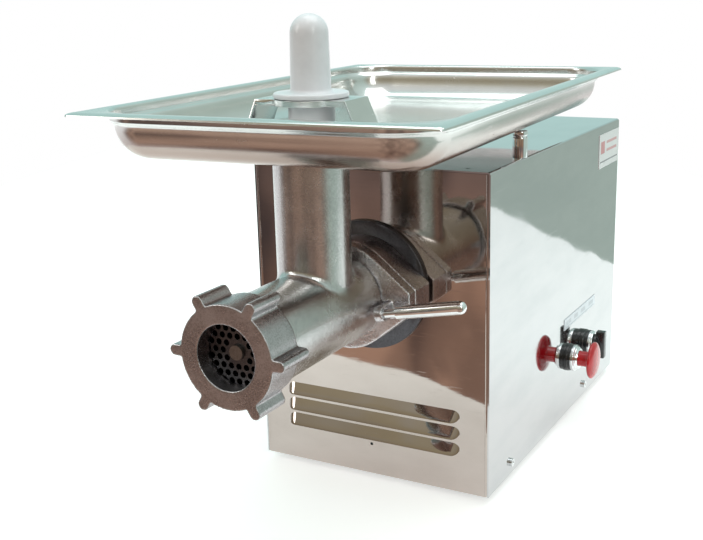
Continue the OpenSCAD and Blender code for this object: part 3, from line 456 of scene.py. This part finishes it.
black_rubber = rubber("black_rubber", (0.012, 0.012, 0.013))
chrome = turned_steel("chrome_trim", (0.84, 0.85, 0.86), 0.05)
hardware = turned_steel("steel_hardware", (0.55, 0.56, 0.57), 0.3)
dress("shaft_seal", black_rubber)
for node in ("foot_screws", "hub_bolts", "plate_key"):
    dress(node, hardware)
feet = copy_of("feet", "rubber_feet")
soften(feet, 0.0008)
put(feet, black_rubber, "machine", "feet")
screws = copy_of("side_screws", "side_screw_heads")
soften(screws, 0.0004)
put(screws, chrome, "machine", "side_screws")


# ---- Tray posts ----
# Two turned chrome posts with a groove under their heads, screwed through the top of the case. The
# tray rests on them.
def arcs(points, parts=4):
    """An outline whose corners are rounded: a point is (radius, height) or (radius, height, rounding)."""
    made = []
    for k, point in enumerate(points):
        here = Vector(point[:2])
        if len(point) < 3 or k in (0, len(points) - 1):
            made.append(tuple(here))
            continue
        before = Vector(points[k - 1][:2]) - here
        after = Vector(points[k + 1][:2]) - here
        reach = min(point[2], 0.49 * before.length, 0.49 * after.length)
        first, last = here + before.normalized() * reach, here + after.normalized() * reach
        for n in range(parts + 1):
            t = n / parts
            made.append(tuple(first * (1 - t) ** 2 + here * 2 * t * (1 - t) + last * t ** 2))
    return made


def turned(name, outline, foot, axis=(0.0, 0.0, 1.0), steps=72):
    """A lathe piece: an outline of (radius, height) turned round an axis that starts at its foot."""
    mesh = bpy.data.meshes.new(name)
    mesh.from_pydata([(r, 0.0, h) for r, h in outline],
                     [(n, n + 1) for n in range(len(outline) - 1)], [])
    piece = bpy.data.objects.new(name, mesh)
    bpy.context.scene.collection.objects.link(piece)
    alone(piece)
    bpy.ops.object.mode_set(mode="EDIT")
    bpy.ops.mesh.select_all(action="SELECT")
    bpy.ops.mesh.spin(steps=steps, angle=2 * math.pi, center=(0.0, 0.0, 0.0), axis=(0.0, 0.0, 1.0))
    bpy.ops.mesh.select_all(action="SELECT")
    bpy.ops.mesh.remove_doubles(threshold=0.000002)
    bpy.ops.mesh.normals_make_consistent(inside=False)
    bpy.ops.object.mode_set(mode="OBJECT")
    turn = Vector(axis).to_track_quat("Z", "Y").to_matrix().to_4x4()
    mesh.transform(Matrix.Translation(foot) @ turn)
    bpy.ops.object.shade_smooth_by_angle(angle=math.radians(35))
    return piece


def joined(name, pieces):
    """Several pieces made one."""
    alone(pieces[0])
    for piece in pieces[1:]:
        piece.select_set(True)
    bpy.ops.object.join()
    pieces[0].name = name
    return pieces[0]


POST_R = 0.007
STUD_R = 0.0035
GROOVE_R = POST_R - 0.0012
post_low, post_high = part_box("tray_posts")
post_middle = (post_low.y + post_high.y) / 2
head_of_post = post_high.z - case_high.z
post_outline = arcs([
    (0.0, -0.010), (STUD_R, -0.010), (STUD_R, HAIR), (POST_R, HAIR, 0.0003),
    (POST_R, head_of_post - 0.0062, 0.0008), (GROOVE_R, head_of_post - 0.0056, 0.0004),
    (GROOVE_R, head_of_post - 0.0048, 0.0004), (POST_R, head_of_post - 0.0042, 0.0008),
    (POST_R, head_of_post, 0.0012), (0.0, head_of_post)])
posts = joined("chrome_posts", [
    turned("post", post_outline, (x, post_middle, case_high.z), steps=48)
    for x in (post_low.x + POST_R, post_high.x - POST_R)])
put(posts, chrome, "machine", "tray_posts")


# ---- Labels ----
# A strip over the controls and a plate near the top corner: printed film glued to the case, with
# plain blocks and rules and no lettering.
def plastic(name, colour, rough, coat=0.0, grain=0.00004):
    """Moulded plastic: almost even, with a fine grain and slight handling marks."""
    made, place = new_finish(name)
    marks = place.noise(0.015, 5.0, 0.6)
    close_finish(place, {
        "Base Color": marks.step(0.35, 0.8).paint(colour, tuple(c * 0.93 for c in colour)),
        "Roughness": rough + marks.step(0.5, 0.8) * 0.1,
        "Coat Weight": coat,
        "Normal": bump(place.noise(0.0016, 2.0), grain)})
    return made


def printed_film(name, node, ground, blocks):
    """White film with plain printed blocks: (from y, to y, from z, to z, colour) as shares of its size."""
    made, place = new_finish(name)
    low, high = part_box(node)
    across = (place.part(1) - low.y) / (high.y - low.y)
    rise = (place.part(2) - low.z) / (high.z - low.z)
    paper = place.noise(0.004, 3.0)
    colour = paper.paint(ground, tuple(c * 0.94 for c in ground))
    for y0, y1, z0, z1, ink in blocks:
        inside = (across.step(y0 - 0.004, y0 + 0.004) * (1 - across.step(y1 - 0.004, y1 + 0.004))
                  * rise.step(z0 - 0.01, z0 + 0.01) * (1 - rise.step(z1 - 0.01, z1 + 0.01)))
        colour = inside.paint(colour, ink)
    close_finish(place, {"Base Color": colour, "Roughness": 0.28 + paper * 0.1, "Coat Weight": 0.3})
    dress(node, made)


printed_film("strip_film", "control_label", (0.72, 0.77, 0.84), [
    (0.04, 0.96, 0.12, 0.18, (0.35, 0.38, 0.42)), (0.05, 0.20, 0.35, 0.75, (0.52, 0.56, 0.62)),
    (0.30, 0.42, 0.35, 0.75, (0.52, 0.56, 0.62)), (0.52, 0.66, 0.35, 0.75, (0.52, 0.56, 0.62)),
    (0.78, 0.94, 0.35, 0.75, (0.52, 0.56, 0.62))])
printed_film("plate_film", "blank_plate", (0.80, 0.80, 0.82), [
    (0.07, 0.27, 0.42, 0.78, (0.62, 0.26, 0.28)), (0.36, 0.90, 0.68, 0.76, (0.66, 0.36, 0.38)),
    (0.36, 0.90, 0.44, 0.52, (0.66, 0.36, 0.38)), (0.04, 0.96, 0.16, 0.20, (0.22, 0.22, 0.25))])
dark_plastic = plastic("dark_plastic", (0.03, 0.03, 0.032), 0.45)
for node in ("cable_gland", "stop_block", "selector_block"):
    dress(node, dark_plastic)


# ---- Grinding head ----
# Tinned cast steel: a fine sand-cast skin with soft lights. The neck grows out of the barrel with a
# rounded corner all round.
def casting(name, tint, shade, rough, skin=0.0016, depth=0.00012, metallic=1.0):
    """Sand-cast metal with a grainy skin, cloudy colour and slightly brighter high spots."""
    made, place = new_finish(name)
    cloud = place.noise(0.03, 4.0, 0.6)
    sand = place.noise(skin, 3.0, 0.6)
    pits = place.noise(skin * 4.0, 2.0)
    tone = (cloud * 0.4 + sand * 0.6).step(0.38, 0.60)
    close_finish(place, {
        "Base Color": tone.paint(shade, tint),
        "Metallic": metallic,
        "Roughness": rough + cloud.step(0.4, 0.8) * 0.1 - sand * 0.08,
        "Normal": bump(sand + pits * 0.6, depth)})
    return made


def recast(piece, grain, passes):
    """Gives a piece the rounded edges of a casting: its skin is laid anew in small cells and smoothed."""
    finish_with(piece, "REMESH", mode="VOXEL", voxel_size=grain, use_smooth_shade=True)
    finish_with(piece, "SMOOTH", factor=0.5, iterations=passes)


BARREL_R = 0.0385
NECK_R = 0.0318
NECK_OUT = 0.094
CORNER_REACH = 0.0042
barrel_metal = casting("barrel_metal", (0.66, 0.655, 0.655), (0.50, 0.495, 0.495), 0.27, 0.0011, 0.00011)
bush_low, bush_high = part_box("head_bush")
axis_x = (bush_low.x + bush_high.x) / 2
axis_z = (bush_low.z + bush_high.z) / 2
neck_y = case_front - NECK_OUT
head = copy_of("head_body", "cast_head")
recast(head, 0.0015, 3)
bpy.ops.object.mode_set(mode="EDIT")
bpy.ops.mesh.select_all(action="DESELECT")
bpy.ops.object.mode_set(mode="OBJECT")
for vertex in head.data.vertices:
    from_barrel = math.hypot(vertex.co.x - axis_x, vertex.co.z - axis_z) - BARREL_R
    from_neck = math.hypot(vertex.co.x - axis_x, vertex.co.y - neck_y) - NECK_R
    outside = from_barrel > -0.0012 and from_neck > -0.0012
    if outside and max(from_barrel, from_neck) < CORNER_REACH and vertex.co.z > axis_z:
        vertex.select = True
bpy.ops.object.mode_set(mode="EDIT")
bpy.ops.mesh.vertices_smooth(factor=0.5, repeat=26)
bpy.ops.object.mode_set(mode="OBJECT")
put(head, barrel_metal, "machine", "head_body")

# ---- Ring nut and plate ----
# The nut is a rougher casting with six lugs and screws onto the barrel. The plate behind its lip is
# dark hardened steel.
nut_metal = casting("nut_metal", (0.54, 0.52, 0.54), (0.36, 0.34, 0.35), 0.31, 0.0012, 0.00018)
nut = copy_of("ring_nut", "cast_nut")
recast(nut, 0.0008, 7)
put(nut, nut_metal, "nut", "ring_nut")
plate_metal = casting("plate_metal", (0.16, 0.16, 0.17), (0.10, 0.10, 0.11), 0.3, 0.0015, 0.00003)
plate = copy_of("grinder_plate", "hardened_plate")
soften(plate, 0.0002, 1)
put(plate, plate_metal, "plate", "grinder_plate")

# ---- Clamp ----
# Ring and hub are castings with two lobes. The ring is turned by a chromed rod that is screwed into
# its socket, and behind them a dark disc closes the hole in the panel.
flange_metal = casting("flange_metal", (0.74, 0.72, 0.74), (0.50, 0.48, 0.50), 0.30, 0.0017, 0.00026)
for node, name, body in (("clamp_ring", "cast_ring", "clamp"), ("hub_flange", "cast_hub", "machine")):
    flange = copy_of(node, name)
    recast(flange, 0.0009, 4)
    put(flange, flange_metal, body, node)
disc_grey = casting("disc_grey", (0.10, 0.097, 0.108), (0.07, 0.068, 0.076), 0.34, 0.002, 0.00002, 0.85)
disc = copy_of("seal_disc", "disc")
soften(disc, 0.0007)
put(disc, disc_grey, "machine", "seal_disc")
lever = copy_of("clamp_lever", "lever_rod")
soften(lever, 0.0008, 3)
put(lever, chrome, "clamp", "clamp_lever")

# ---- Inside the head ----
# A cast auger that turns in a bronze bush, and the four-winged knife that it carries behind the
# plate.
auger_metal = casting("auger_metal", (0.30, 0.29, 0.28), (0.22, 0.21, 0.20), 0.34)
knife_steel = turned_steel("knife_steel", (0.62, 0.62, 0.63), 0.22)
bronze = casting("bronze", (0.52, 0.34, 0.15), (0.42, 0.26, 0.11), 0.3, 0.001, 0.00003)
for node, finish in (("auger", auger_metal), ("knife", knife_steel), ("head_bush", bronze)):
    dress(node, finish)

# ---- Tray ----
# Deep-drawn stainless tray: a flat rim with square corners and a turned-down edge, a stacking
# shoulder under it, leaning walls, a well-rounded floor edge and the throat hole over the neck.
TRAY_L = 0.530
TRAY_W = 0.325
TRAY_YAW = math.radians(2.8)
RIM_W = 0.014
RIM_DROP = 0.003
RIM_BEND = 0.003
WALL_TOP = 0.0075
CORNER_R = 0.045
FLOOR_R = 0.027
LEAN = 0.004
SHOULDER = 0.0022
SHEET_T = 0.001
THROAT_R = 0.0288

tray_low, tray_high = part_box("tray")
# The last argument paints shade: a brown on the down-facing faces of the tray's floor and lower roll.
tray_bright = sheet_steel("tray_steel", (0.72, 0.72, 0.71), (0.65, 0.655, 0.645), 0.19,
                          (1.0, 0.6, 1.2), 0.0010, (tray_low.z + 0.004, (0.36, 0.27, 0.235)))
rim_top = tray_high.z
floor_top = tray_low.z + SHEET_T


def tray_loop(inset, radius, height, per_corner=14):
    """One closed row of points round the tray: a rectangle drawn in by inset, with round corners."""
    row = []
    for k in range(4):
        sx, sy = ((1, 1), (-1, 1), (-1, -1), (1, -1))[k]
        centre = Vector((sx * (TRAY_W / 2 - inset - radius), sy * (TRAY_L / 2 - inset - radius)))
        for n in range(per_corner + 1):
            angle = math.pi / 2 * (k + n / per_corner)
            row.append((centre.x + radius * math.cos(angle), centre.y + radius * math.sin(angle), height))
    return row


rows = [tray_loop(0.0004, 0.0056, rim_top - RIM_DROP), tray_loop(0.0008, 0.0054, rim_top - 0.0017),
        tray_loop(0.0022, 0.0046, rim_top - 0.0008), tray_loop(0.0045, 0.004, rim_top - 0.0002),
        tray_loop(0.0065, 0.004, rim_top), tray_loop(RIM_W - RIM_BEND, CORNER_R + RIM_BEND, rim_top)]
for n in range(1, 5):
    bend = math.pi / 2 * n / 4
    inset = RIM_W - RIM_BEND * (1 - math.sin(bend))
    rows.append(tray_loop(inset, CORNER_R + RIM_W - inset, rim_top - RIM_BEND * (1 - math.cos(bend))))
rows.append(tray_loop(RIM_W, CORNER_R, rim_top - WALL_TOP))
for n in range(1, 5):
    rows.append(tray_loop(RIM_W + SHOULDER * n / 4, CORNER_R - SHOULDER * n / 4,
                          rim_top - WALL_TOP - SHOULDER * (1 - math.cos(math.pi * n / 4)) / 2))
rows.append(tray_loop(RIM_W + LEAN, CORNER_R - LEAN, floor_top + FLOOR_R))
for n in range(1, 11):
    bend = math.pi / 2 * n / 10
    inset = RIM_W + LEAN + FLOOR_R * (1 - math.cos(bend))
    rows.append(tray_loop(inset, CORNER_R + RIM_W - inset, floor_top + FLOOR_R * (1 - math.sin(bend))))
per_row = len(rows[0])
faces = []
for r in range(len(rows) - 1):
    for n in range(per_row):
        m = (n + 1) % per_row
        faces.append((r * per_row + n, r * per_row + m, (r + 1) * per_row + m, (r + 1) * per_row + n))
faces.append(tuple((len(rows) - 1) * per_row + n for n in range(per_row)))
pressing = bpy.data.meshes.new("pressed_tray")
pressing.from_pydata([point for row in rows for point in row], [], faces)
tray = bpy.data.objects.new("pressed_tray", pressing)
bpy.context.scene.collection.objects.link(tray)
alone(tray)
bpy.ops.object.mode_set(mode="EDIT")
bpy.ops.mesh.select_all(action="SELECT")
bpy.ops.mesh.normals_make_consistent(inside=False)
bpy.ops.object.mode_set(mode="OBJECT")
if tray.data.polygons[-1].normal.z < 0:
    tray.data.flip_normals()
finish_with(tray, "SOLIDIFY", thickness=SHEET_T * 0.9, offset=-1.0)
tray_middle = (tray_low + tray_high) / 2
pressing = tray.data
pressing.transform(Matrix.Translation((tray_middle.x, tray_middle.y, 0.0))
                   @ Matrix.Rotation(TRAY_YAW, 4, "Z"))
bpy.ops.object.select_all(action="DESELECT")
bpy.ops.mesh.primitive_cylinder_add(vertices=72, radius=THROAT_R, depth=0.02,
                                    location=(axis_x, neck_y, floor_top))
throat = bpy.context.object
finish_with(tray, "BOOLEAN", operation="DIFFERENCE", object=throat, solver="EXACT")
bpy.data.objects.remove(throat)
alone(tray)
bpy.ops.object.shade_smooth_by_angle(angle=math.radians(32))
put(tray, tray_bright, "tray", "tray")

# ---- Guard ----
# The guard over the throat is the same sheet, cut, pierced and folded, with its edges broken. It
# lies loose in the tray.
guard = copy_of("tray_guard", "folded_guard")
soften(guard, 0.0005)
put(guard, tray_bright, "tray", "tray_guard")

# ---- Plunger ----
# White food-grade plastic, turned in one piece: a long shaft, a thin round stop and a domed handle.
SHAFT_R = 0.0192
STOP_R = 0.031
STOP_T = 0.0045
GRIP_R = 0.0167
guard_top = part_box("tray_guard")[1].z
plunger_low, plunger_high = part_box("plunger")
white_plastic = plastic("white_plastic", (0.74, 0.74, 0.775), 0.30, 0.25)
plunger_x = (plunger_low.x + plunger_high.x) / 2
plunger_y = (plunger_low.y + plunger_high.y) / 2
stop_foot = guard_top + 0.0003 - plunger_low.z
grip_top = plunger_high.z - plunger_low.z
dome_r = GRIP_R - 0.001
outline = arcs([
    (0.0, 0.0), (SHAFT_R, 0.0, 0.003), (SHAFT_R, stop_foot, 0.0003), (STOP_R, stop_foot, 0.0012),
    (STOP_R, stop_foot + STOP_T, 0.002), (GRIP_R, stop_foot + STOP_T, 0.003),
    (dome_r, grip_top - dome_r)])
for n in range(1, 13):
    turn = math.pi / 2 * n / 12
    outline.append((dome_r * math.cos(turn), grip_top - dome_r + dome_r * math.sin(turn)))
plunger = turned("turned_plunger", outline, (plunger_x, plunger_y, plunger_low.z), steps=96)
put(plunger, white_plastic, "plunger", "plunger")

# ---- Controls ----
# A red mushroom stop button and a black selector, each in a black collar behind a chrome bezel. The
# bezels are screwed through the side of the case.
def clear_plastic_painted_glow(name, colour, rough):
    """Moulded plastic under a glossy skin, with a faint painted glow in its own colour for the light seen
    through a translucent plastic.
    """
    made, place = new_finish(name)
    marks = place.noise(0.01, 4.0)
    close_finish(place, {
        "Base Color": marks.step(0.35, 0.75).paint(colour, tuple(c * 0.8 for c in colour)),
        "Roughness": rough + marks * 0.08,
        "Coat Weight": 0.4,
        # Painted glow: a faint emission in the plastic's own colour.
        "Emission Color": marks.paint(colour, tuple(c * 0.7 for c in colour)),
        "Emission Strength": 0.12,
        "Normal": bump(marks, 0.00003)})
    return made


red_plastic = clear_plastic_painted_glow("red_plastic", (0.46, 0.006, 0.012), 0.14)
black_plastic = plastic("black_plastic", (0.012, 0.012, 0.013), 0.22, 0.3)
STEM_R = 0.0083
TUBE_R = 0.011
COLLAR_R = 0.0150
BEZEL_R = 0.0143
MUSHROOM_R = 0.0200
side = case_high.x
button_low, button_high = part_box("stop_button")
button_y = (button_low.y + button_high.y) / 2
button_z = (button_low.z + button_high.z) / 2
bezel_low, bezel_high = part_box("selector_bezel")
knob_y = (bezel_low.y + bezel_high.y) / 2
knob_z = (bezel_low.z + bezel_high.z) / 2
button = turned("mushroom", arcs([
    (0.0, -0.0105), (STEM_R, -0.0105), (STEM_R, 0.0235, 0.002), (0.0125, 0.0243, 0.001),
    (0.0188, 0.0256, 0.001), (MUSHROOM_R, 0.0270, 0.001), (0.0198, 0.0288, 0.0012),
    (0.0160, 0.0312, 0.003), (0.0090, 0.0326, 0.004), (0.0, 0.0330)]),
    (side, button_y, button_z), (1.0, 0.0, 0.0))
put(button, red_plastic, "stop", "stop_button")
stop_bezel = turned("stop_chrome", arcs([
    (STEM_R + 0.0001, -0.0115), (TUBE_R, -0.0115), (TUBE_R, 0.00602), (BEZEL_R, 0.00602, 0.0003),
    (BEZEL_R, 0.0092, 0.0008), (0.0128, 0.0098, 0.0004), (0.0128, 0.0108, 0.0004),
    (0.0119, 0.0116, 0.0006), (0.0110, 0.0135, 0.0007), (STEM_R + 0.0001, 0.0135, 0.0004),
    (STEM_R + 0.0001, -0.0115)]), (side, button_y, button_z), (1.0, 0.0, 0.0))
put(stop_bezel, chrome, "machine", "stop_bezel")
selector_bezel = turned("selector_chrome", arcs([
    (0.0052, -0.0115), (TUBE_R, -0.0115), (TUBE_R, 0.00902), (BEZEL_R, 0.00902, 0.0003),
    (BEZEL_R, 0.0115, 0.0006), (0.0135, 0.0119, 0.0003), (0.0135, 0.0125, 0.0003),
    (0.0130, 0.0140, 0.0008), (0.0052, 0.0140, 0.0004), (0.0052, -0.0115)]),
    (side, knob_y, knob_z), (1.0, 0.0, 0.0))
put(selector_bezel, chrome, "machine", "selector_bezel")
for name, node, y, z, depth in (("stop_ring", "stop_collar", button_y, button_z, 0.006),
                                ("selector_ring", "selector_collar", knob_y, knob_z, 0.009)):
    collar = turned(name, arcs([
        (TUBE_R + 0.00005, HAIR), (COLLAR_R, HAIR, 0.0003), (COLLAR_R, depth * 0.45, 0.0006),
        (BEZEL_R, depth * 0.52, 0.0003), (BEZEL_R, depth - 0.0004, 0.0004), (0.0138, depth, 0.0003),
        (TUBE_R + 0.00005, depth), (TUBE_R + 0.00005, HAIR)]), (side, y, z), (1.0, 0.0, 0.0))
    put(collar, black_plastic, "machine", node)
selector = copy_of("selector_knob", "selector_handle")
soften(selector, 0.0012, 3)
put(selector, black_plastic, "selector", "selector_knob")

# ---- Drive ----
# Gearbox and motor inside the case: painted castings, ground shafts, cut gears and wound copper,
# all out of sight behind the sheet.
slot_finishes = {
    "gearbox_paint": plastic("gearbox_paint", (0.17, 0.20, 0.22), 0.42, 0.0, 0.0002),
    "motor_paint": plastic("motor_paint", (0.10, 0.13, 0.15), 0.4, 0.0, 0.00015),
    "bearing_steel": turned_steel("bearing_steel", (0.66, 0.67, 0.68), 0.2),
    "shaft_steel": turned_steel("shaft_steel", (0.56, 0.57, 0.58), 0.22),
    "gear_steel": turned_steel("gear_steel", (0.42, 0.42, 0.43), 0.32),
    "core_steel": turned_steel("core_steel", (0.30, 0.31, 0.33), 0.42),
    "winding_copper": turned_steel("winding_copper", (0.72, 0.28, 0.12), 0.3),
    "fan_plastic": plastic("fan_plastic", (0.05, 0.05, 0.055), 0.45),
    "capacitor_plastic": plastic("capacitor_plastic", (0.55, 0.56, 0.56), 0.4)}
for part in frame["record"]["subparts"]:
    if part["material_slot"] in slot_finishes:
        dress(part["node"], slot_finishes[part["material_slot"]])
